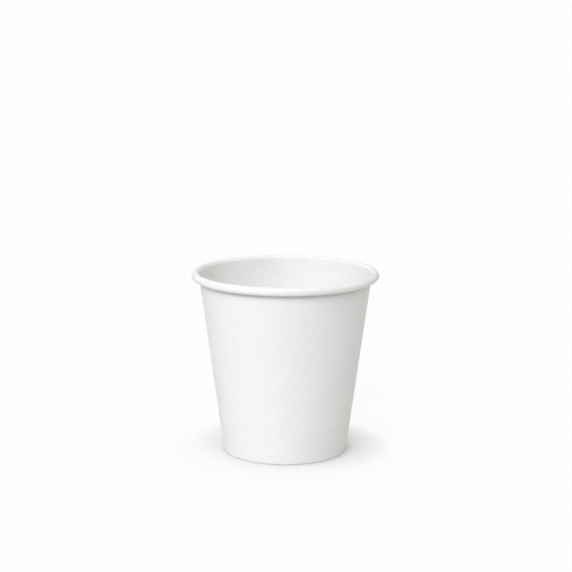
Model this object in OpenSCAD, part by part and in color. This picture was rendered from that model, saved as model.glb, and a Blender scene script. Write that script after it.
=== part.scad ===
// Small single-wall paper coffee cup, standing on its foot.
// The origin is on the table under the middle of the cup, +Z is up and the back is towards +Y.
// A cup of this kind is two pieces of coated paper: a fan-shaped sheet that is wrapped into the tapered
// wall, and a round bottom whose drawn edge is locked in the wall's folded foot.

/* [Cup] */
// Height from the table to the top of the brim
cup_h = 60.5; // [50:0.5:75]
// Outer diameter over the rolled brim
brim_d = 62; // [58:0.5:68]
// Diameter of the foot, where the line of the wall's outer face meets the table
foot_d = 41.2; // [38:0.2:45]
// Thickness of the coated paper
paper_t = 0.3; // [0.24:0.01:0.36]

/* [Rolled brim] */
// Diameter of the bead over its outer turn
bead_d = 2.7; // [2.5:0.1:3.2]
// Where the outer turn ends and the tucked turn begins, in degrees below level on the outside of the bead
turn_in = 60; // [40:5:80]
// How far the tucked turn goes on from there, in degrees
tuck_turn = 150; // [120:5:165]
// Air between the tucked turn and the wall
roll_gap = 0.1; // [0.06:0.01:0.16]

/* [Foot] */
// Length of the hem that is folded up inside the foot, measured up the wall from the table
hem_h = 4.1; // [3:0.1:6]
// Inside radius of the fold under the foot
fold_r = 0.08; // [0.05:0.01:0.12]
// Distance from the edge of the hem up to the bend of the bottom
hem_gap = 0.3; // [0.2:0.05:0.6]
// Number of pressed grooves round the inside of the hem
knurl_count = 96; // [72:4:120]
// Depth of a pressed groove
knurl_depth = 0.09; // [0.05:0.01:0.12]
// Width of a pressed groove
knurl_w = 0.6; // [0.5:0.05:0.7]
// Distance from the fold under the foot up to the grooves, and from the grooves up to the edge of the hem
knurl_margin = 0.5; // [0.3:0.1:1]

/* [Bottom] */
// Inside radius of the bend between the bottom and its skirt
bend_r = 0.5; // [0.3:0.05:0.9]
// Sealing film on each side of the skirt, where it lies between the wall and the hem
film_t = 0.02; // [0.01:0.01:0.04]

/* [Side seam] */
// Overlap of the seam, measured round the top of the wall
lap_w = 6; // [4:0.5:9]
// Where the inner edge of the seam stands, in degrees round the cup, with 90 at the back
lap_at = 95.5; // [0:0.5:340]
// Length under the brim over which the seam's inner edge fades out
lap_fade = 6; // [4:0.5:12]

/* [Hidden] */

// Most degrees between two points of an arc, and the least number of steps in one
arc_step = 15;
arc_least = 3;
// Longer than any distance across the cup
far = 100;

foot_r = foot_d / 2;
bead_r = bead_d / 2;

// Centre of the outer turn of the roll, in the section's plane
roll_c = [brim_d / 2 - bead_r, cup_h - bead_r];

// Lean of the wall: its outer face rises straight from the foot and runs into the inside of the roll as a tangent
rise = roll_c - [foot_r, 0];
lean = atan2(rise[0], rise[1]) - asin((bead_r - paper_t) / norm(rise));

// Length of the wall from the table to where it runs into the roll
wall_s = rise[0] * sin(lean) + rise[1] * cos(lean);

// Point of the section that lies s up the wall from the table, and o outside its outer face
function on_wall(s, o) = [foot_r, 0] + s * [sin(lean), cos(lean)] + o * [cos(lean), -sin(lean)];

// How far up the wall a point lies that is z above the table and o outside the wall's outer face
function up_wall(z, o) = (z + o * sin(lean)) / cos(lean);
function at_height(z, o) = on_wall(up_wall(z, o), o);

// The tucked turn is smaller, so that it passes the wall by roll_gap
tuck_r = bead_r - (paper_t + roll_gap) / (1 - cos(180 - lean + turn_in));
tuck_c = roll_c + (bead_r - tuck_r) * [cos(-turn_in), sin(-turn_in)];

// The foot is three sheets thick: the wall, the skirt of the bottom between two films, and the hem
foot_w = 3 * paper_t + 2 * film_t;
fold_out_r = fold_r + paper_t;
fold_outer_c = at_height(fold_out_r, -fold_out_r);
fold_inner_c = at_height(fold_out_r, fold_out_r - foot_w);

// Skirt of the bottom: distance of its outer face from the wall's outer face, and how far up the wall it starts
skirt_o = -paper_t - film_t;
skirt_s = up_wall(fold_out_r + film_t, skirt_o);

// Turn of the seam's overlap
lap_turn = lap_w / roll_c[0] * 180 / PI;

// The lap's hem ends a little below the sheet's
lap_back = 0.1;

// The sheet climbs over the seam's inner edge on a flat, which passes the edge a little farther out than the lap.
// Its turn is worked out at the foot, where the cup is tightest, with half a degree more so that it meets the wall.
edge_lift = 0.03;
climb_turn = acos(foot_r / (foot_r + paper_t + edge_lift)) + 0.5;

// Points of an arc round c from one angle to another, without the first point where skip is 1
function arc(c, r, from, to, skip = 0) =
    let (n = max(arc_least, ceil(abs(to - from) / arc_step)))
    [for (i = [skip:n]) let (a = from + (to - from) * i / n) c + r * [cos(a), sin(a)]];

function last(points) = points[len(points) - 1];
function reversed(points) = [for (i = [len(points) - 1:-1:0]) points[i]];

// Bend of the bottom, one centre for both its faces, and the height of the bottom's underside
bend_out_r = bend_r + paper_t;
bend_c = on_wall(hem_h + hem_gap, skirt_o - bend_out_r);
bottom_z = bend_c[1] + bend_r;

// Faces of the wall's sheet, d outside its inner face, in stretches from the brim to the hem
function tuck_face(d) = arc(tuck_c, tuck_r - d, -turn_in - tuck_turn, -turn_in);
function roll_face(d, skip = 0) = concat(
    arc(roll_c, bead_r - d, -turn_in, 0, skip),
    arc(roll_c, bead_r - d, 0, 90, skip = 1),
    arc(roll_c, bead_r - d, 90, 180 - lean, skip = 1)
);
function fold_face(d) = arc(fold_outer_c, fold_r + d, -lean, -90);
function hem_face(d, back = 0) = concat(
    arc(fold_inner_c, fold_r + d, -90, -180 - lean),
    [on_wall(hem_h - back, paper_t - foot_w - d)]
);
function foot_face(d, back = 0) = concat(fold_face(d), hem_face(d, back));
function sheet_face(d) = concat(tuck_face(d), roll_face(d, skip = 1), foot_face(d));

// Closed outline of a layer between its inner and its outer face
function layer(inner, outer) = concat(outer, reversed(inner));

// The lap is pressed flush with the foot, so that the cup stands level
function pressed(points) = [for (p = points) [p[0], max(p[1], 0)]];

// Faces of the lap, from the bead to the hem, and of its stretch on the outside of the wall alone
function lap_face(d) = pressed(concat(roll_face(d), foot_face(d, lap_back)));
function lap_wall_face(d) = pressed(concat([last(roll_face(d))], fold_face(d)));

// All that lies on the wall's side of the flat, which leans with the wall, moved outwards by o
module behind_climb(o) {
    corner = on_wall(0, paper_t + edge_lift);
    rotate([0, 0, lap_at])
        translate([corner[0], 0, corner[1]])
            rotate([0, lean, 0])
                rotate([0, 0, -climb_turn])
                    translate([o - far, -far, -far])
                        cube([far, 2 * far, 2 * far]);
}

// Second layer of the seam: it climbs on a flat up to the inner edge and lies on the sheet as far as the outer edge
module lap() {
    intersection() {
        rotate_extrude(angle = climb_turn + lap_turn / 2, start = lap_at - climb_turn, $fn = 360)
            polygon(layer(lap_wall_face(paper_t / 2), lap_wall_face(2 * paper_t)));
        behind_climb(0);
    }
    rotate_extrude(angle = lap_turn, start = lap_at, $fn = 360)
        polygon(layer(lap_face(paper_t / 2), lap_face(2 * paper_t)));
}

// Space under the flat, inside the cup, that leaves the seam's inner edge standing one sheet high.
// It starts at the bottom and fades out below the brim, where the curling tool irons the sheet.
module lap_step() {
    floor_s = up_wall(bottom_z + paper_t, 0);
    intersection() {
        rotate_extrude(angle = climb_turn, start = lap_at - climb_turn, $fn = 360)
            polygon([
                on_wall(floor_s, -foot_w),
                on_wall(floor_s, paper_t),
                on_wall(wall_s - lap_fade, paper_t),
                on_wall(wall_s, -2 * paper_t),
                on_wall(wall_s, -foot_w)
            ]);
        behind_climb(-paper_t);
    }
}

// Grooves pressed into the hem's free face, which is the lap's where the lap lies on the hem.
// The edges of the lap have none.
module knurl() {
    from_s = fold_out_r + knurl_margin;
    to_s = hem_h - knurl_margin;
    clear_turn = asin(knurl_w / (foot_r - foot_w));
    for (i = [0:knurl_count - 1]) {
        turn = 360 / knurl_count * (i + 1 / 2);
        past_lap = abs((turn - lap_at - lap_turn / 2 + 540) % 360 - 180) - lap_turn / 2;
        start = on_wall(from_s, past_lap < 0 ? -foot_w - paper_t : -foot_w);
        if (abs(past_lap) > clear_turn)
            rotate([0, 0, turn])
                translate([start[0], 0, start[1]])
                    rotate([0, lean, 0])
                        linear_extrude(height = to_s - from_s)
                            polygon([
                                [-knurl_depth, -knurl_w * 3 / 4],
                                [knurl_depth, -knurl_w / 4],
                                [knurl_depth, knurl_w / 4],
                                [-knurl_depth, knurl_w * 3 / 4]
                            ]);
    }
}

// One sheet: rolled brim, tapered wall with its lapped seam, and the foot folded in and up round the skirt
module side_wall() {
    color("white")
        difference() {
            union() {
                rotate_extrude($fn = 360)
                    polygon(layer(sheet_face(0), sheet_face(paper_t)));
                lap();
            }
            lap_step();
            knurl();
        }
}

// Round blank with its edge drawn down into a skirt
module bottom_disc() {
    color("whitesmoke")
        rotate_extrude($fn = 360)
            polygon(concat(
                [[0, bottom_z]],
                arc(bend_c, bend_r, 90, -lean),
                [on_wall(skirt_s, skirt_o - paper_t), on_wall(skirt_s, skirt_o)],
                arc(bend_c, bend_out_r, -lean, 90),
                [[0, bottom_z + paper_t]]
            ));
}

side_wall();
bottom_disc();
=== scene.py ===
# %% [markdown]
# # A small paper coffee cup
#
# A paper cup is two pieces of coated paper. A fan-shaped sheet is wrapped into the tapered wall, its
# two straight edges are lapped and sealed, its top is rolled outward into the brim, and its foot is
# folded in and up round the edge of a round bottom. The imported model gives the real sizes, so it is
# loaded first, and everything below is in its frame: metres, +Z up, the front of the photo at -Y.

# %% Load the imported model
import math

import bpy
import numpy as np
from mathutils import Euler, Matrix, Vector


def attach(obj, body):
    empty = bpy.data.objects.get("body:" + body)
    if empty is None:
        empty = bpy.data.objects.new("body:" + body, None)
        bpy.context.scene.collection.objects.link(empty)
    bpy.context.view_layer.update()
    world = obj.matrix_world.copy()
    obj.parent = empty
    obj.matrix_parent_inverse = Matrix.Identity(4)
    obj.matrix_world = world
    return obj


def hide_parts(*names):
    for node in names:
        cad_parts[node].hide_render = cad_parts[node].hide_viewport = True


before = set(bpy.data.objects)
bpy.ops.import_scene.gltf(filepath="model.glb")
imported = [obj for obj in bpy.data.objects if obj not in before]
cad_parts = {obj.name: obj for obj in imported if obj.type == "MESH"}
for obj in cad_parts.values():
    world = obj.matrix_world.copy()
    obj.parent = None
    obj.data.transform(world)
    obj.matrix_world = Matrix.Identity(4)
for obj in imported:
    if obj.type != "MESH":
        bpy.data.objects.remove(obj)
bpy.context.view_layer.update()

MM = 0.001

# %% [markdown]
# ## The camera
#
# The brim and the foot are seen as flat ellipses, and their width against their height gives the
# camera's pitch. The distance comes from how much the far side of the brim is smaller than the near
# side. A long lens keeps the upright lines of the cup almost parallel, as in the photo.

# %% Camera
CAMERA_AT = (0.00022, -0.4962, 0.1528)
CAMERA_PITCH = 11.12
CAMERA_ROLL = 0.16
CAMERA_LENS = 95.95
SENSOR = 36

camera_data = bpy.data.cameras.new("camera")
camera_data.lens = CAMERA_LENS
camera_data.sensor_width = SENSOR
camera = bpy.data.objects.new("camera", camera_data)
camera.location = CAMERA_AT
pitched = Matrix.Rotation(math.radians(90 - CAMERA_PITCH), 3, "X")
rolled = Matrix.Rotation(math.radians(CAMERA_ROLL), 3, "Z")
camera.rotation_euler = (pitched @ rolled).to_euler()
bpy.context.scene.collection.objects.link(camera)
bpy.context.scene.camera = camera
print("camera:", CAMERA_LENS, "mm lens,", CAMERA_PITCH, "degrees down")

# %% [markdown]
# ## Sizes of the cup
#
# These are the maker's sizes, in millimetres, the same as in the CAD source. First come the outer
# ones and the sheet's thickness, then the rolled brim, then the foot with its hem and the bottom. The
# wall's lean isn't one of them: the wall rises straight from the foot and runs into the inside of the
# rolled brim as a tangent, and that fixes it.
#
# The brim's outer turn ends on its outside, `TURN_IN` degrees below the level of its middle, and goes
# on into a smaller turn of `TUCK_TURN` degrees inside the roll. `FILM` is the thin gap that stands for
# the melted coat between two sealed faces.

# %% Sizes in millimetres
CUP_HEIGHT = 60.5
BRIM_WIDTH = 62.0
FOOT_WIDTH = 41.2
SHEET = 0.3

BEAD = 2.7
TURN_IN = 60
TUCK_TURN = 150
ROLL_GAP = 0.1

HEM = 4.1
FOLD_RADIUS = 0.08
HEM_GAP = 0.3
BEND_RADIUS = 0.5
FILM = 0.02

foot_radius = FOOT_WIDTH / 2
bead_radius = BEAD / 2
roll_centre = np.array([BRIM_WIDTH / 2 - bead_radius, CUP_HEIGHT - bead_radius])
rise = roll_centre - np.array([foot_radius, 0])
lean = math.degrees(math.atan2(rise[0], rise[1]) - math.asin((bead_radius - SHEET) / np.hypot(*rise)))
print("the wall leans out by", round(lean, 2), "degrees")

# %% [markdown]
# ## The section of the sheet
#
# The wall is one sheet of paper, so its section is drawn as a path along the paper and not as an
# outline. Each station of the path is a point on the drink side of the sheet and the direction
# straight through the sheet to its outside. The thickness is added later, which keeps it the same
# everywhere, through the roll, the wall and the folds of the foot.
#
# A station also carries two weights. `pressed` says how far the tools squeeze two layers of the
# sheet to the thickness of one, as they do in the brim and under the foot. `groove` marks the hem's
# free face, which gets a ring of pressed grooves.

# %% Stations along the sheet


def direction(degrees):
    """Unit vectors at these angles in the section's plane."""
    angle = np.radians(degrees)
    return np.column_stack([np.cos(angle), np.sin(angle)])


AWAY, TOWARDS = 1, -1


def bend(centre, radius, start, end, steps, outside):
    """Stations round an arc. The sheet's outside faces away from the centre or towards it."""
    spokes = direction(np.linspace(start, end, steps + 1))
    return np.hstack([centre + radius * spokes, outside * spokes])


def straight(first, last, steps):
    """Stations between two others, without those two."""
    share = np.linspace(0, 1, steps + 1)[1:-1, None]
    return first + (last - first) * share


def lengths(points):
    """Length along a line of points, from its first point."""
    return np.concatenate([[0], np.cumsum(np.hypot(*np.diff(points[:, :2], axis=0).T))])


up_wall = direction([90 - lean])[0]
outward = direction([-lean])[0]


def on_wall(up, out):
    """The point that lies so far up the wall from the table, and so far outside its outer face."""
    return np.array([foot_radius, 0]) + up * up_wall + out * outward


def at_height(height, out):
    """The point at a height above the table that lies so far outside the wall's outer face."""
    return on_wall((height - out * outward[1]) / outward[0], out)


# %% The wall's path from the brim to the hem
FOOT_ROWS_FROM = 3.4
TUCK_ROWS = 12
ROLL_ROWS = 30
WALL_ROWS = 20
FOOT_ROWS = 7
FOLD_ROWS = 5
HEM_ROWS = 14

wall_side = 180 - lean
tuck_radius = bead_radius - (SHEET + ROLL_GAP) / (1 - math.cos(math.radians(wall_side + TURN_IN)))
tuck_centre = roll_centre + (bead_radius - tuck_radius) * direction([-TURN_IN])[0]
foot_width = 3 * SHEET + 2 * FILM
fold_height = FOLD_RADIUS + SHEET
fold_out = at_height(fold_height, -fold_height)
fold_in = at_height(fold_height, fold_height - foot_width)

tuck = bend(tuck_centre, tuck_radius, -TURN_IN - TUCK_TURN, -TURN_IN, TUCK_ROWS, TOWARDS)
roll = bend(roll_centre, bead_radius, -TURN_IN, wall_side, ROLL_ROWS, TOWARDS)
foot_start = np.hstack([on_wall(FOOT_ROWS_FROM, -SHEET), outward])
outer_fold = bend(fold_out, FOLD_RADIUS, -lean, -90, FOLD_ROWS, AWAY)
inner_fold = bend(fold_in, FOLD_RADIUS, -90, -180 - lean, FOLD_ROWS, AWAY)
hem_end = np.hstack([on_wall(HEM, SHEET - foot_width), -outward])
stations = np.vstack([
    tuck, roll[1:], straight(roll[-1], foot_start, WALL_ROWS),
    foot_start, straight(foot_start, outer_fold[0], FOOT_ROWS),
    outer_fold, inner_fold, straight(inner_fold[-1], hem_end, HEM_ROWS), hem_end,
])
along = lengths(stations)
at_roll_end = along[len(tuck) + len(roll) - 2]
print(len(stations), "stations, the sheet is", round(along[-1], 1), "mm long in section")

# %% Weights of the stations
IRONED = 6.0
PRESSED_FOOT = 2.2
GROOVE_LOW = 0.96
GROOVE_HIGH = 3.65
GROOVE_RAMP = 0.15


def fade(value, start, end):
    """1 at start and beyond it, smoothly down to 0 at end."""
    share = np.clip((value - end) / (start - end), 0, 1)
    return share * share * (3 - 2 * share)


heights = stations[:, 1]
on_hem = np.arange(len(stations)) >= len(stations) - HEM_ROWS
pressed_brim = fade(along, at_roll_end, at_roll_end + IRONED)
pressed_foot = fade(heights, fold_height, PRESSED_FOOT)
pressed = np.maximum(pressed_brim, pressed_foot)
groove_low = fade(heights, GROOVE_LOW + GROOVE_RAMP, GROOVE_LOW)
groove_high = fade(heights, GROOVE_HIGH - GROOVE_RAMP, GROOVE_HIGH)
groove = on_hem * groove_low * groove_high
print("stations with grooves:", int((groove > 0).sum()))

# %% [markdown]
# ## Sections as meshes
#
# Geometry Nodes sweep the section round the cup. They read a section as a ring of vertices with
# attributes: where the station is, the way through the sheet, how deep in the sheet the vertex
# lies, and the weights. The ring goes down one face of the sheet and back up the other.

# %% Make a ring of vertices with attributes


def ring_mesh(name, values):
    """A closed ring of edges, with one named attribute for each entry of values."""
    count = len(values["depth"])
    mesh = bpy.data.meshes.new(name)
    points = [(*values["station"][i][:2], 0) for i in range(count)]
    mesh.from_pydata(points, [(i, (i + 1) % count) for i in range(count)], [])
    for key, data in values.items():
        data = np.asarray(data, np.float32)
        vector = data.ndim == 2
        attribute = mesh.attributes.new(key, "FLOAT_VECTOR" if vector else "FLOAT", "POINT")
        attribute.data.foreach_set("vector" if vector else "value", data.ravel())
    return mesh


def upright(pairs):
    """Pairs of radius and height as vectors with a third number of 0."""
    return np.column_stack([pairs, np.zeros(len(pairs))])


def there_and_back(values):
    """The values along one face of the sheet and then back along the other."""
    return np.concatenate([values, values[::-1]])


count = len(stations)
wall_ring = ring_mesh("wall_section", {
    "station": upright(there_and_back(stations[:, :2]) * MM),
    "through": upright(there_and_back(stations[:, 2:])),
    "depth": np.concatenate([np.zeros(count), np.ones(count)]),
    "pressed": there_and_back(pressed),
    "groove": np.concatenate([np.zeros(count), groove[::-1]]),
    "along": there_and_back(along),
})
print("wall section:", len(wall_ring.vertices), "vertices")

# %% [markdown]
# ## Small helpers for nodes
#
# Every node is made in the same three steps: create it, set what it is, and give each input a value
# or a link. One function does that for the geometry, the materials and the light of the room.

# %% Helper for any node


def new_node(tree, kind, inputs, **settings):
    """A node with its settings and inputs. An input is a value or another node's output."""
    node = tree.nodes.new(kind)
    for key, value in settings.items():
        setattr(node, key, value)
    for key, value in inputs.items():
        if isinstance(value, bpy.types.NodeSocket):
            tree.links.new(value, node.inputs[key])
        else:
            node.inputs[key].default_value = value
    return node


print("node helper ready")

# %% [markdown]
# A Geometry Nodes tree that works out positions is mostly sums. Writing each sum as one call keeps
# the script readable: `add` makes any node and gives back its first output, and `sum_of` does the
# same for a Math node.

# %% Helper class for trees of sums


class Tree:
    """A Geometry Nodes tree that is written like sums."""

    def __init__(self, name):
        self.group = bpy.data.node_groups.new(name, "GeometryNodeTree")
        self.group.interface.new_socket("Geometry", in_out="OUTPUT", socket_type="NodeSocketGeometry")
        self.entry = self.group.nodes.new("NodeGroupInput")
        self.exit = self.group.nodes.new("NodeGroupOutput")

    def size(self, name, kind="NodeSocketFloat"):
        """A named input of the tree."""
        self.group.interface.new_socket(name, in_out="INPUT", socket_type=kind)
        return self.entry.outputs[name]

    def add(self, kind, inputs, **settings):
        """The first output of a new node."""
        return new_node(self.group, kind, inputs, **settings).outputs[0]

    def sum_of(self, operation, *values, clamp=False):
        """A Math node."""
        return self.add("ShaderNodeMath", dict(enumerate(values)),
                        operation=operation, use_clamp=clamp)

    def read(self, name, kind="FLOAT"):
        """A named attribute of the geometry."""
        return self.add("GeometryNodeInputNamedAttribute", {"Name": name}, data_type=kind)

    def store(self, geometry, name, value, kind="FLOAT"):
        """Keeps a value on every point."""
        return self.add("GeometryNodeStoreNamedAttribute",
                        {"Geometry": geometry, "Name": name, "Value": value},
                        data_type=kind, domain="POINT")


print("helper for trees of sums ready")

# %% [markdown]
# ## Wrap the sheet round the cup
#
# The tree sweeps the ring along a straight line first, which gives a flat strip of paper with closed
# ends, and then bends the strip round the cup by setting every position. The strip is longer than
# one turn, so its end lies on its start: that is the side seam. The inner edge of the seam is skived,
# so that drink can't creep into it: it is thin at its end and reaches the full sheet a few
# millimetres on. The other end climbs over it, first on a curve that starts level with the wall,
# then up the skived edge. A revolved tube with a groove for the seam would have no real edges.
#
# Every point also keeps its place on the flat sheet, in millimetres: round the cup (at a mean radius),
# along the section, and a third number that tells the sheet's two faces apart.

# %% Tree that wraps a section
MEAN_RADIUS = 25.0
OTHER_FACE = 40.0
SOFT_START = 0.3
WANDER_SCALE = 14.0
SAME_PLACE = 1e-7


def wrap_tree():
    """Geometry Nodes that sweep a section round the axis, with a lapped seam and pressed grooves."""
    tree = Tree("wrap_sheet")
    section = tree.size("Section", "NodeSocketGeometry")
    start, turn = tree.size("Start Angle"), tree.size("Turn")
    steps = tree.size("Steps", "NodeSocketInt")
    sheet, air = tree.size("Sheet"), tree.size("Air In Seam")
    lap, climb = tree.size("Lap Angle"), tree.size("Climb Angle")
    skive, skived_to = tree.size("Skive Angle"), tree.size("Skived To")
    groove_count, groove_depth = tree.size("Grooves"), tree.size("Groove Depth")
    wander, seed = tree.size("Groove Wander"), tree.size("Seed")
    closed_ends = tree.size("Closed Ends", "NodeSocketBool")
    finish = tree.size("Material", "NodeSocketMaterial")

    line = tree.add("GeometryNodeCurvePrimitiveLine", {"Start": (0, 0, 0), "End": (0, 0, 1)})
    points = tree.sum_of("ADD", steps, 1)
    path = tree.add("GeometryNodeResampleCurve", {"Curve": line, "Count": points})
    path = tree.store(path, "share", tree.add("GeometryNodeSplineParameter", {}))
    profile = tree.add("GeometryNodeMeshToCurve", {"Mesh": section})
    strip = tree.add("GeometryNodeCurveToMesh",
                     {"Curve": path, "Profile Curve": profile, "Fill Caps": closed_ends})

    share = tree.read("share")
    angle = tree.sum_of("MULTIPLY_ADD", share, turn, start)
    past_start = tree.sum_of("SUBTRACT", angle, start)

    # how thick the start of the strip is, from the skived edge to 1
    skived_part = tree.sum_of("SUBTRACT", 1, skived_to)
    full = tree.sum_of("SMOOTH_MIN", tree.sum_of("DIVIDE", past_start, skive), 1, SOFT_START)
    thick = tree.sum_of("MULTIPLY_ADD", full, skived_part, skived_to)

    # how far the end of the strip has climbed on to its start, from 0 to 1
    climb_start = tree.sum_of("SUBTRACT", 2 * math.pi, climb)
    past_climb = tree.sum_of("SUBTRACT", past_start, climb_start)
    on_climb = tree.sum_of("DIVIDE", past_climb, climb, clamp=True)
    up_edge = tree.sum_of("MULTIPLY", tree.sum_of("MULTIPLY", on_climb, on_climb), skived_to)
    past_turn = tree.sum_of("MAXIMUM", tree.sum_of("SUBTRACT", past_start, 2 * math.pi), 0)
    up_skive = tree.sum_of("SMOOTH_MIN", tree.sum_of("DIVIDE", past_turn, skive), 1, SOFT_START)
    climbed = tree.sum_of("MULTIPLY_ADD", up_skive, skived_part, up_edge)

    # how much of the pressing there is: all under the lap, and fading out on both sides of it
    past_lap = tree.sum_of("DIVIDE", tree.sum_of("SUBTRACT", past_start, lap), climb, clamp=True)
    under_lap = tree.sum_of("SUBTRACT", 1, past_lap)
    twice, one_more = tree.sum_of("MULTIPLY", climbed, 2), tree.sum_of("ADD", climbed, 1)
    in_lap = tree.sum_of("MAXIMUM", under_lap, tree.sum_of("DIVIDE", twice, one_more))
    squeezed = tree.sum_of("MULTIPLY", in_lap, tree.read("pressed"))

    # depth in the sheet, lifted on the lap, squeezed where it is pressed and dented in the grooves
    lift = tree.sum_of("MULTIPLY", climbed, tree.sum_of("ADD", sheet, air))
    in_sheet = tree.sum_of("MULTIPLY", tree.read("depth"), thick)
    depth = tree.sum_of("MULTIPLY_ADD", in_sheet, sheet, lift)
    depth = tree.sum_of("MULTIPLY", depth, tree.sum_of("MULTIPLY_ADD", squeezed, -0.5, 1))
    wave = tree.sum_of("COSINE", tree.sum_of("MULTIPLY", past_start, groove_count))
    ridge = tree.sum_of("MAXIMUM", wave, 0)
    across, back = tree.sum_of("COSINE", angle), tree.sum_of("SINE", angle)
    circle = tree.add("ShaderNodeCombineXYZ", {"X": across, "Y": back, "Z": seed})
    uneven = tree.add("ShaderNodeTexNoise",
                      {"Vector": circle, "Scale": WANDER_SCALE, "Detail": 1.0})
    kept = tree.sum_of("SUBTRACT", 1, tree.sum_of("MULTIPLY", wander, uneven))
    ridge = tree.sum_of("MULTIPLY", ridge, kept)
    dent = tree.sum_of("MULTIPLY", tree.sum_of("MULTIPLY", ridge, groove_depth), tree.read("groove"))
    depth = tree.sum_of("SUBTRACT", depth, dent)

    # the section's radius and height become a place round the axis, never below the table
    station = tree.read("station", "FLOAT_VECTOR")
    through = tree.read("through", "FLOAT_VECTOR")
    moved = tree.add("ShaderNodeVectorMath", {0: through, 1: depth, 2: station},
                     operation="MULTIPLY_ADD")
    split = new_node(tree.group, "ShaderNodeSeparateXYZ", {0: moved})
    radius, height = split.outputs[0], tree.sum_of("MAXIMUM", split.outputs[1], 0)
    place = tree.add("ShaderNodeCombineXYZ", {
        "X": tree.sum_of("MULTIPLY", radius, across),
        "Y": tree.sum_of("MULTIPLY", radius, back),
        "Z": height,
    })
    placed = tree.add("GeometryNodeSetPosition", {"Geometry": strip, "Position": place})
    on_sheet = tree.add("ShaderNodeCombineXYZ", {
        "X": tree.sum_of("MULTIPLY", past_start, MEAN_RADIUS),
        "Y": tree.read("along"),
        "Z": tree.sum_of("MULTIPLY", tree.read("depth"), OTHER_FACE),
    })
    placed = tree.store(placed, "on_sheet", on_sheet, "FLOAT_VECTOR")
    joined = tree.add("GeometryNodeMergeByDistance", {"Geometry": placed, "Distance": SAME_PLACE})
    real = tree.add("GeometryNodeRealizeInstances", {"Geometry": joined})
    done = tree.add("GeometryNodeSetMaterial", {"Geometry": real, "Material": finish})
    tree.group.links.new(done, tree.exit.inputs[0])
    return tree.group


wrap = wrap_tree()
print("tree", wrap.name, "with", len(wrap.nodes), "nodes")

# %% Turn a section into a plain mesh


def wrapped(name, ring, material, **sizes):
    """The object that the tree makes of a section, as a plain mesh with no modifier."""
    source = bpy.data.objects.new(name + "_source", ring)
    bpy.context.scene.collection.objects.link(source)
    modifier = source.modifiers.new("wrap", "NODES")
    modifier.node_group = wrap
    inputs = [item for item in wrap.interface.items_tree if item.in_out == "INPUT"]
    named = {item.name: item.identifier for item in inputs}
    for key, value in sizes.items():
        modifier[named[key.replace("_", " ")]] = value
    modifier[named["Material"]] = material
    evaluated = source.evaluated_get(bpy.context.evaluated_depsgraph_get())
    mesh = bpy.data.meshes.new_from_object(evaluated)
    mesh.name = name
    bpy.data.objects.remove(source)
    piece = bpy.data.objects.new(name, mesh)
    bpy.context.scene.collection.objects.link(piece)
    return piece


print("wrapping ready")

# %% [markdown]
# ## White cupstock
#
# Cups are made of bleached board with a thin plastic coat: white, smooth and matt, with a soft sheen
# on the curled brim. Seen close it isn't even. The board's fibres lie in short slanting streaks, half
# a millimetre wide, and in larger clouds. The coat follows them in a faint relief, less so on the
# thicker coat inside. The cut edges are bare board, a little darker and rougher. Creases and narrow
# hollows, such as the one under the rolled brim, get a painted shade: a dark warm colour mixed into
# the board's colour where ambient occlusion finds them. The pattern lies on the sheet, so it is drawn
# in the sheet's own millimetres, which the wrapping tree keeps on every point, and it bends round the
# cup with the paper. The streaks slant one way on the left of the front and the other way on its right,
# and `FELT_TURNS` says between which two places round the sheet, in millimetres, they change over.
#
# A scale is in features for each millimetre and a run is in degrees. A tint is a share of the board's
# colour, and `CLOUD_MOST` and the depth of the painted shade say how much of their colour comes
# through at the most.

# %% Numbers of the board
FELT_SCALE = 1.5
FELT_DETAIL = 3
FELT_STRETCH = 2.2
FELT_RUNS = (40, 138)
FELT_TURNS = (62, 70)
OTHER_FELT = 40
FELT_TINT = (0.952, 1.012)
FELT_RELIEF = 0.06 * MM

CLOUD_SCALE = 0.09
CLOUD_DETAIL = 2
CLOUD_STRETCH = 2.5
CLOUD_RUN = 130
CLOUD_TINT = 0.955
CLOUD_MOST = 0.6

GRAIN_SCALE = 6
GRAIN_DETAIL = 2
GRAIN_RELIEF = 0.002 * MM
NOISE_MIDDLE = (0.3, 0.7)

COAT_ROUGHNESS = (0.5, 0.58)
COAT_GLOSS = 0.35
INSIDE_RELIEF = 0.7
BARE_BOARD = (0.80, 0.785, 0.75, 1)
BARE_ROUGHNESS = 0.9

# the painted shade in creases: how far the occlusion looks, where it starts, how much comes through,
# and its dark warm colour
PAINTED_SHADE_REACH = 2 * MM
PAINTED_SHADE_FROM = 0.6
PAINTED_SHADE_DEPTH = 0.72
PAINTED_SHADE_COLOUR = (0.45, 0.42, 0.39, 1)
SHADE_RAYS = 6
print("streaks", 1 / FELT_SCALE, "mm apart, running at", FELT_RUNS, "degrees")

# %% Material of the board


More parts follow.
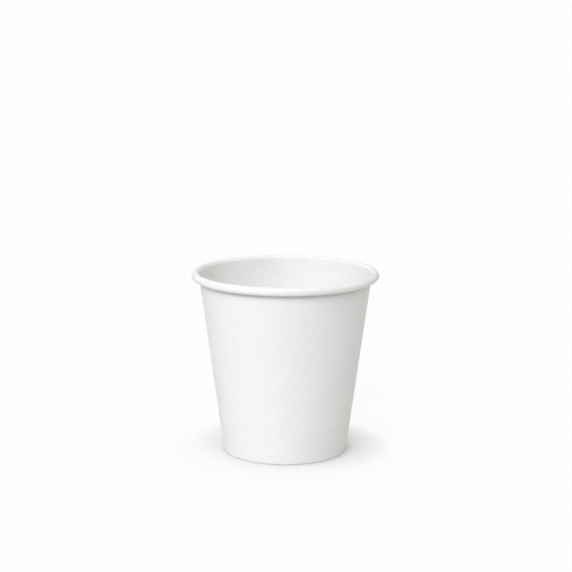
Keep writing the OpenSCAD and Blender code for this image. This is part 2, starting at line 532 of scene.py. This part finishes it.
def cupstock(name, colour, seed):
    """Bleached, coated board with a faint fibre relief, bare cut edges and painted shade in creases."""
    material = bpy.data.materials.new(name)
    material.use_nodes = True
    tree = material.node_tree
    paper = tree.nodes["Principled BSDF"]

    def noise(scale, detail, turn=0, longer=1, shift=0):
        """Noise on the sheet: features for each mm, the way it runs, and its stretch that way."""
        place = new_node(tree, "ShaderNodeMapping", {
            "Vector": sheet.outputs["Vector"],
            "Location": (seed + shift,) * 3,
            "Rotation": (0, 0, math.radians(turn)),
            "Scale": (longer, 1, 1),
        }, vector_type="TEXTURE")
        return new_node(tree, "ShaderNodeTexNoise", {
            "Vector": place.outputs[0], "Scale": scale, "Detail": detail}).outputs[0]

    def spread(value, lowest, highest, low, high):
        """The range from lowest to highest spread over the range from low to high."""
        return new_node(tree, "ShaderNodeMapRange", {
            "Value": value, "From Min": lowest, "From Max": highest,
            "To Min": low, "To Max": high}).outputs[0]

    def blended(factor, first, second):
        """A number between two others."""
        return new_node(tree, "ShaderNodeMix", {"Factor": factor, 2: first, 3: second},
                        data_type="FLOAT").outputs[0]

    def mixed(factor, first, second):
        """A colour between two others."""
        return new_node(tree, "ShaderNodeMix", {"Factor": factor, 6: first, 7: second},
                        data_type="RGBA").outputs[2]

    def shade(share):
        """The board's colour, times a share."""
        return (*[c * share for c in colour], 1)

    sheet = new_node(tree, "ShaderNodeAttribute", {}, attribute_name="on_sheet")
    cut = new_node(tree, "ShaderNodeAttribute", {}, attribute_name="cut").outputs["Fac"]
    split = new_node(tree, "ShaderNodeSeparateXYZ", {"Vector": sheet.outputs["Vector"]})
    round_cup, _, face = split.outputs

    # streaks that slant one way on the left and the other way on the right, clouds and grain
    felt_left = noise(FELT_SCALE, FELT_DETAIL, FELT_RUNS[0], FELT_STRETCH)
    felt_right = noise(FELT_SCALE, FELT_DETAIL, FELT_RUNS[1], FELT_STRETCH, OTHER_FELT)
    felt = blended(spread(round_cup, *FELT_TURNS, 0, 1), felt_left, felt_right)
    clouds = noise(CLOUD_SCALE, CLOUD_DETAIL, CLOUD_RUN, CLOUD_STRETCH)
    grain = noise(GRAIN_SCALE, GRAIN_DETAIL)

    # the tint, the painted shade in creases and the bare edges
    streaky = mixed(spread(felt, *NOISE_MIDDLE, 0, 1), shade(FELT_TINT[0]), shade(FELT_TINT[1]))
    cloudy = mixed(spread(clouds, *NOISE_MIDDLE, 0, CLOUD_MOST), streaky, shade(CLOUD_TINT))
    # painted shade: where ambient occlusion finds a crease, a dark warm colour is mixed into the base
    # colour
    crease = new_node(tree, "ShaderNodeAmbientOcclusion", {"Distance": PAINTED_SHADE_REACH},
                      only_local=True, samples=SHADE_RAYS)
    painted_shade = spread(crease.outputs["AO"], PAINTED_SHADE_FROM, 1, PAINTED_SHADE_DEPTH, 0)
    with_painted_shade = mixed(painted_shade, cloudy, PAINTED_SHADE_COLOUR)
    tree.links.new(mixed(cut, with_painted_shade, BARE_BOARD), paper.inputs["Base Color"])

    # the gloss of the coat, and none on the bare edges
    coat = spread(grain, *NOISE_MIDDLE, *COAT_ROUGHNESS)
    tree.links.new(blended(cut, coat, BARE_ROUGHNESS), paper.inputs["Roughness"])
    paper.inputs["Specular IOR Level"].default_value = COAT_GLOSS

    # the relief, weaker under the thicker coat inside
    coated = spread(face, 0, OTHER_FACE, INSIDE_RELIEF, 1)
    relief = new_node(tree, "ShaderNodeBump",
                      {"Height": felt, "Distance": FELT_RELIEF, "Strength": coated})
    fine = new_node(tree, "ShaderNodeBump", {"Height": grain, "Distance": GRAIN_RELIEF,
                                             "Strength": 1.0, "Normal": relief.outputs[0]})
    tree.links.new(fine.outputs[0], paper.inputs["Normal"])
    return material


WALL_WHITE, WALL_SEED = (0.922, 0.908, 0.885), 3.0
BOTTOM_WHITE, BOTTOM_SEED = (0.912, 0.898, 0.875), 17.0
wall_board = cupstock("white_cupstock_wall", WALL_WHITE, WALL_SEED)
bottom_board = cupstock("white_cupstock_bottom", BOTTOM_WHITE, BOTTOM_SEED)
print("materials:", wall_board.name, bottom_board.name)

# %% [markdown]
# ## The wall
#
# The wall starts at the inner edge of the seam, at the back of the cup, and goes round by 360 degrees
# and the lap. The steps are counted so that every groove of the foot has its deepest line on a
# column of vertices, with three flat columns up to the next one.

# %% Make the wall
GROOVES = 96
COLUMNS = 4
LAP_WIDTH = 6.0
SEAM_AT = math.radians(95.5)
GROOVE_DEPTH = 0.09 * MM
AIR_IN_SEAM = 0.012 * MM
SKIVE_ANGLE = math.radians(6)
SKIVED_TO = 0.05

step = 2 * math.pi / (GROOVES * COLUMNS)
lap_steps = round(LAP_WIDTH / roll_centre[0] / step)
wall_steps = GROOVES * COLUMNS + lap_steps
climb_angle = math.acos(foot_radius / (foot_radius + SHEET))

wall = wrapped(
    "cup_wall", wall_ring, wall_board,
    Start_Angle=SEAM_AT, Turn=wall_steps * step, Steps=wall_steps,
    Sheet=SHEET * MM, Air_In_Seam=AIR_IN_SEAM, Lap_Angle=lap_steps * step, Climb_Angle=climb_angle,
    Skive_Angle=SKIVE_ANGLE, Skived_To=SKIVED_TO,
    Grooves=float(GROOVES), Groove_Depth=GROOVE_DEPTH, Groove_Wander=0.0, Seed=1.0,
    Closed_Ends=True,
)
print("wall:", len(wall.data.vertices), "vertices,", len(wall.data.polygons), "faces")

# %% [markdown]
# ## The bottom
#
# The bottom is a round blank whose edge is drawn down into a skirt. Its section is a plain outline,
# so each vertex is a station with no thickness of its own. The same tree turns it once round, and
# merging the doubles closes the seam and the middle. Drawing the edge down packs too much paper into
# the bend, which shows as fine uneven pleats round the rim of the bottom. The board's pattern lies
# flat on the blank, in plain millimetres, and not round the axis as on the wall.

# %% Section of the bottom
FLAT_RADII = [0, 2, 4, 7, 10, 13, 15, 17, 18.5]
INNER_ROWS = 7
OUTER_ROWS = 9
SKIRT_ROWS = 4

outer_bend = BEND_RADIUS + SHEET
skirt_face = -SHEET - FILM
bend_centre = on_wall(HEM + HEM_GAP, skirt_face - outer_bend)
underside = bend_centre[1] + BEND_RADIUS
edge_outer = at_height(fold_height + FILM, skirt_face)
edge_inner = edge_outer - SHEET * outward


def flat_rows(height, radii, facing):
    """Stations on the flat of the bottom."""
    return np.array([[radius, height, 0, facing] for radius in radii])


below = flat_rows(underside, FLAT_RADII, -1)
inner_bend = bend(bend_centre, BEND_RADIUS, 90, -lean, INNER_ROWS, TOWARDS)
edge_rows = np.array([[*edge_inner, *-up_wall], [*edge_outer, *-up_wall]])
upper_bend = bend(bend_centre, outer_bend, -lean, 90, OUTER_ROWS, AWAY)
inner_skirt = straight(inner_bend[-1], edge_rows[0], SKIRT_ROWS)
outer_skirt = straight(edge_rows[1], upper_bend[0], SKIRT_ROWS)
above = flat_rows(underside + SHEET, FLAT_RADII[::-1], 1)
outline = np.vstack([below, inner_bend, inner_skirt, edge_rows, outer_skirt, upper_bend, above])
print("bottom section:", len(outline), "stations")

# %% Make the bottom
PLEATS = 128
PLEAT_COLUMNS = 3
PLEAT_DEPTH = 0.035 * MM
PLEAT_WANDER = 1.6
PLEATS_FULL = 1.1
PLEATS_GONE = 2.6
PLEATS_FROM = 10
NO_ANGLE = 1e-6

from_bend = np.hypot(*(outline[:, :2] - bend_centre).T) / outer_bend
on_rim = (outline[:, 1] > underside - BEND_RADIUS) * (outline[:, 0] > PLEATS_FROM)
pleated = fade(from_bend, PLEATS_FULL, PLEATS_GONE) * on_rim
bottom_ring = ring_mesh("bottom_section", {
    "station": upright(outline[:, :2] * MM),
    "through": upright(outline[:, 2:]),
    "depth": np.zeros(len(outline)),
    "pressed": np.zeros(len(outline)),
    "groove": pleated,
    "along": lengths(outline),
})
bottom = wrapped(
    "cup_bottom", bottom_ring, bottom_board,
    Start_Angle=0.0, Turn=2 * math.pi, Steps=PLEATS * PLEAT_COLUMNS,
    Sheet=0.0, Air_In_Seam=0.0, Lap_Angle=0.0, Climb_Angle=NO_ANGLE,
    Skive_Angle=NO_ANGLE, Skived_To=1.0,
    Grooves=float(PLEATS), Groove_Depth=PLEAT_DEPTH, Groove_Wander=PLEAT_WANDER, Seed=5.0,
    Closed_Ends=False,
)
points = np.zeros(len(bottom.data.vertices) * 3, np.float32)
bottom.data.vertices.foreach_get("co", points)
bottom.data.attributes["on_sheet"].data.foreach_set("vector", points / MM)
print("bottom:", len(bottom.data.vertices), "vertices")
print("its underside is", round(underside, 2), "mm above the table")

# %% [markdown]
# ## Closed and smooth
#
# Both meshes are closed shells. Where the bottom's section runs up the axis its faces shrink to a
# single edge with no face, which is deleted. Then the faces are turned outward, smooth shading covers
# the curved faces, and the paper's cut edges stay sharp.

# %% Finish the meshes
import bmesh

SHARP = math.radians(40)
NO_LENGTH = 1e-8


def finished(piece):
    """Cleans a piece's mesh: no stray edges, faces outward, smooth curves and sharp cut edges."""
    build = bmesh.new()
    build.from_mesh(piece.data)
    bmesh.ops.dissolve_degenerate(build, dist=NO_LENGTH, edges=build.edges)
    wires = [edge for edge in build.edges if edge.is_wire]
    bmesh.ops.delete(build, geom=wires, context="EDGES")
    bmesh.ops.recalc_face_normals(build, faces=build.faces)
    open_edges = sum(not edge.is_manifold for edge in build.edges)
    volume = build.calc_volume(signed=True)
    build.to_mesh(piece.data)
    build.free()
    piece.data.shade_smooth()
    piece.data.set_sharp_from_angle(angle=SHARP)
    print(piece.name, "stray edges deleted:", len(wires), "open edges:", open_edges)
    print(piece.name, "holds", round(volume / MM ** 3, 1), "mm3 of board")


for piece in (wall, bottom):
    finished(piece)

# %% [markdown]
# ## Cut edges
#
# The wall's sheet has four cut edges: the two of the seam, the one inside the rolled brim and the top
# of the hem. The skived one, on the drink side of the seam, lies in the melted coat and looks like
# the coat, so the other three get the mark. The tree keeps the way round the cup and the way along
# the section on every point, so an edge is the faces whose points all lie at an end of one of the two.

# %% Mark the cut edges
AT_END = 0.001
ROUND, ALONG = 0, 1


def mark_cut_edges(piece, ends_along, ends_round):
    """A mark of 1 on the faces that lie on the sheet's cut edges."""
    mesh = piece.data
    places = np.zeros(len(mesh.vertices) * 3, np.float32)
    mesh.attributes["on_sheet"].data.foreach_get("vector", places)
    places = places.reshape(-1, 3)
    marks = np.zeros(len(mesh.polygons), np.float32)
    edges = [(ALONG, end) for end in ends_along] + [(ROUND, end) for end in ends_round]
    for face in mesh.polygons:
        corners = places[list(face.vertices)]
        marks[face.index] = any(np.abs(corners[:, axis] - end).max() < AT_END for axis, end in edges)
    mesh.attributes.new("cut", "FLOAT", "FACE").data.foreach_set("value", marks)
    print(piece.name, "faces on cut edges:", int(marks.sum()))


mark_cut_edges(wall, (0, along[-1]), (wall_steps * step * MEAN_RADIUS,))

# %% [markdown]
# ## Fix the pieces to the model
#
# The cup has no joints, so both pieces ride on its one body. Each stands for the CAD node of the
# same physical piece, which is hidden.

# %% Ride and replace
for piece, node, finish in ((wall, "side_wall", "wall_paper"), (bottom, "bottom_disc", "bottom_paper")):
    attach(piece, "root")
    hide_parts(node)

# %% [markdown]
# ## Floor
#
# The photo's floor is a white sweep that melts into the background and keeps only the soft shadow
# round the foot. Towards the cup this is an ordinary pale floor, which lights the wall from below.
# What the camera sees of it is nearly white in the open, and darker where the cup covers the floor's
# view of the room. Four shades do that: a wide one all round, one for the light from the left and
# the front, which makes the shadow fall to the right, a narrow one along the edge of the foot, weaker
# on the left where the light comes from, and one for the gap right under the fold. Each has its name,
# its reach, its share of the light, and the tilt and side (in degrees) of the way that it looks.
# The floor is a single face, because an edge between two faces shows up as a line in the shades.

# %% Floor
FLOOR_REACH = 30.0
FLOOR_CORNERS = ((-2, -1), (2, -1), (0, 2))
FLOOR_PALE = (0.775, 0.765, 0.75, 1)
FLOOR_SEEN = (0.05, 0.05, 0.05, 1)
GLOW_LEAST = 0.026
SHADES = (
    ("round_the_cup", 30 * MM, 0.1, 0, 0),
    ("window_side", 15 * MM, 0.51, 50, -120),
    ("under_the_edge", 2.8 * MM, 0.2, 45, 145),
    ("in_the_gap", 0.8 * MM, 0.1, 0, 0),
)

floor_mesh = bpy.data.meshes.new("floor")
corners = [(x * FLOOR_REACH, y * FLOOR_REACH, 0) for x, y in FLOOR_CORNERS]
floor_mesh.from_pydata(corners, [], [(0, 1, 2)])
floor = bpy.data.objects.new("floor", floor_mesh)
bpy.context.scene.collection.objects.link(floor)
print("floor: one face,", FLOOR_REACH, "m or more to each side")

# %% Paint of the floor
floor_paint = bpy.data.materials.new("pale_floor")
floor_paint.use_nodes = True
paint = floor_paint.node_tree
surface = paint.nodes["Principled BSDF"]
surface.inputs["Roughness"].default_value = 1.0
surface.inputs["Specular IOR Level"].default_value = 0.0
surface.inputs["Emission Color"].default_value = (1, 1, 1, 1)

floor_seen = new_node(paint, "ShaderNodeLightPath", {}).outputs["Is Camera Ray"]
pale = new_node(paint, "ShaderNodeMix", {"Factor": floor_seen, 6: FLOOR_PALE, 7: FLOOR_SEEN},
                data_type="RGBA")
paint.links.new(pale.outputs[2], surface.inputs["Base Color"])

light_so_far = GLOW_LEAST
for name, reach, share, tilt, side in SHADES:
    turned = Euler((0, math.radians(tilt), math.radians(side))).to_matrix() @ Vector((0, 0, 1))
    way = new_node(paint, "ShaderNodeCombineXYZ", dict(enumerate(turned)))
    cover = new_node(paint, "ShaderNodeAmbientOcclusion",
                     {"Distance": reach, "Normal": way.outputs[0]}, samples=SHADE_RAYS)
    light_so_far = new_node(paint, "ShaderNodeMath",
                            {0: cover.outputs["AO"], 1: share, 2: light_so_far},
                            operation="MULTIPLY_ADD").outputs[0]
    print("floor shade", name, "reaches", round(reach / MM, 1), "mm")
glow = new_node(paint, "ShaderNodeMath", {0: light_so_far, 1: floor_seen}, operation="MULTIPLY")
paint.links.new(glow.outputs[0], surface.inputs["Emission Strength"])
floor_mesh.materials.append(floor_paint)
print("floor painted with", len(paint.nodes), "nodes")

# %% [markdown]
# ## Light
#
# A big soft key light stands to the left of the camera and above it: the wall is brightest a little
# left of its middle, and the inside is brightest on its right. The weaker lamps stand for the walls
# and the ceiling of a white room. The board is a little warm and the window's light is a little cool,
# so that lit paper is a neutral white. The light that comes back from the room on the right is warm, so
# the shaded side and the shaded part of the inside turn warm, as in the photo.
#
# Each lamp has its side (degrees to the right of the camera), its height in degrees, the width of its
# light in degrees, its strength and its colour.

# %% Lamps
WINDOW_LIGHT = (0.930, 0.961, 1.009)
ROOM_LIGHT = (1.008, 0.98, 0.943)
LAMPS = (
    ("key", -22, 35, 32, 2.18, WINDOW_LIGHT),
    ("left", -75, 35, 40, 0.31, WINDOW_LIGHT),
    ("top", 0, 86, 40, 0.53, WINDOW_LIGHT),
    ("behind_left", -150, 35, 40, 0.62, WINDOW_LIGHT),
    ("right", 110, 35, 40, 0.8, ROOM_LIGHT),
)

for name, side, height, width, strength, colour in LAMPS:
    lamp_data = bpy.data.lights.new(name, "SUN")
    lamp_data.angle = math.radians(width)
    lamp_data.energy = strength
    lamp_data.color = colour
    lamp = bpy.data.objects.new(name, lamp_data)
    lamp.rotation_euler = Euler((math.radians(90 - height), 0, math.radians(side)))
    bpy.context.scene.collection.objects.link(lamp)
    print("lamp", name, side, "degrees to the right,", height, "up, strength", strength)

# %% The room and its background
ROOM = 0.153
BACKGROUND = 0.982

world = bpy.data.worlds.new("white_room")
world.use_nodes = True
bpy.context.scene.world = world
sky = world.node_tree
room = sky.nodes["Background"]
room.inputs["Color"].default_value = (*ROOM_LIGHT, 1)
room.inputs["Strength"].default_value = ROOM
backdrop = new_node(sky, "ShaderNodeBackground", {"Strength": BACKGROUND})
sky_seen = new_node(sky, "ShaderNodeLightPath", {}).outputs["Is Camera Ray"]
choice = new_node(sky, "ShaderNodeMixShader",
                  {0: sky_seen, 1: room.outputs[0], 2: backdrop.outputs[0]})
sky.links.new(choice.outputs[0], sky.nodes["World Output"].inputs[0])
print("room light", ROOM, "and background", BACKGROUND)

# %% [markdown]
# ## Colours as they are
#
# The Standard view shows a colour as it is written, without a film look.

# %% View
bpy.context.scene.view_settings.view_transform = "Standard"
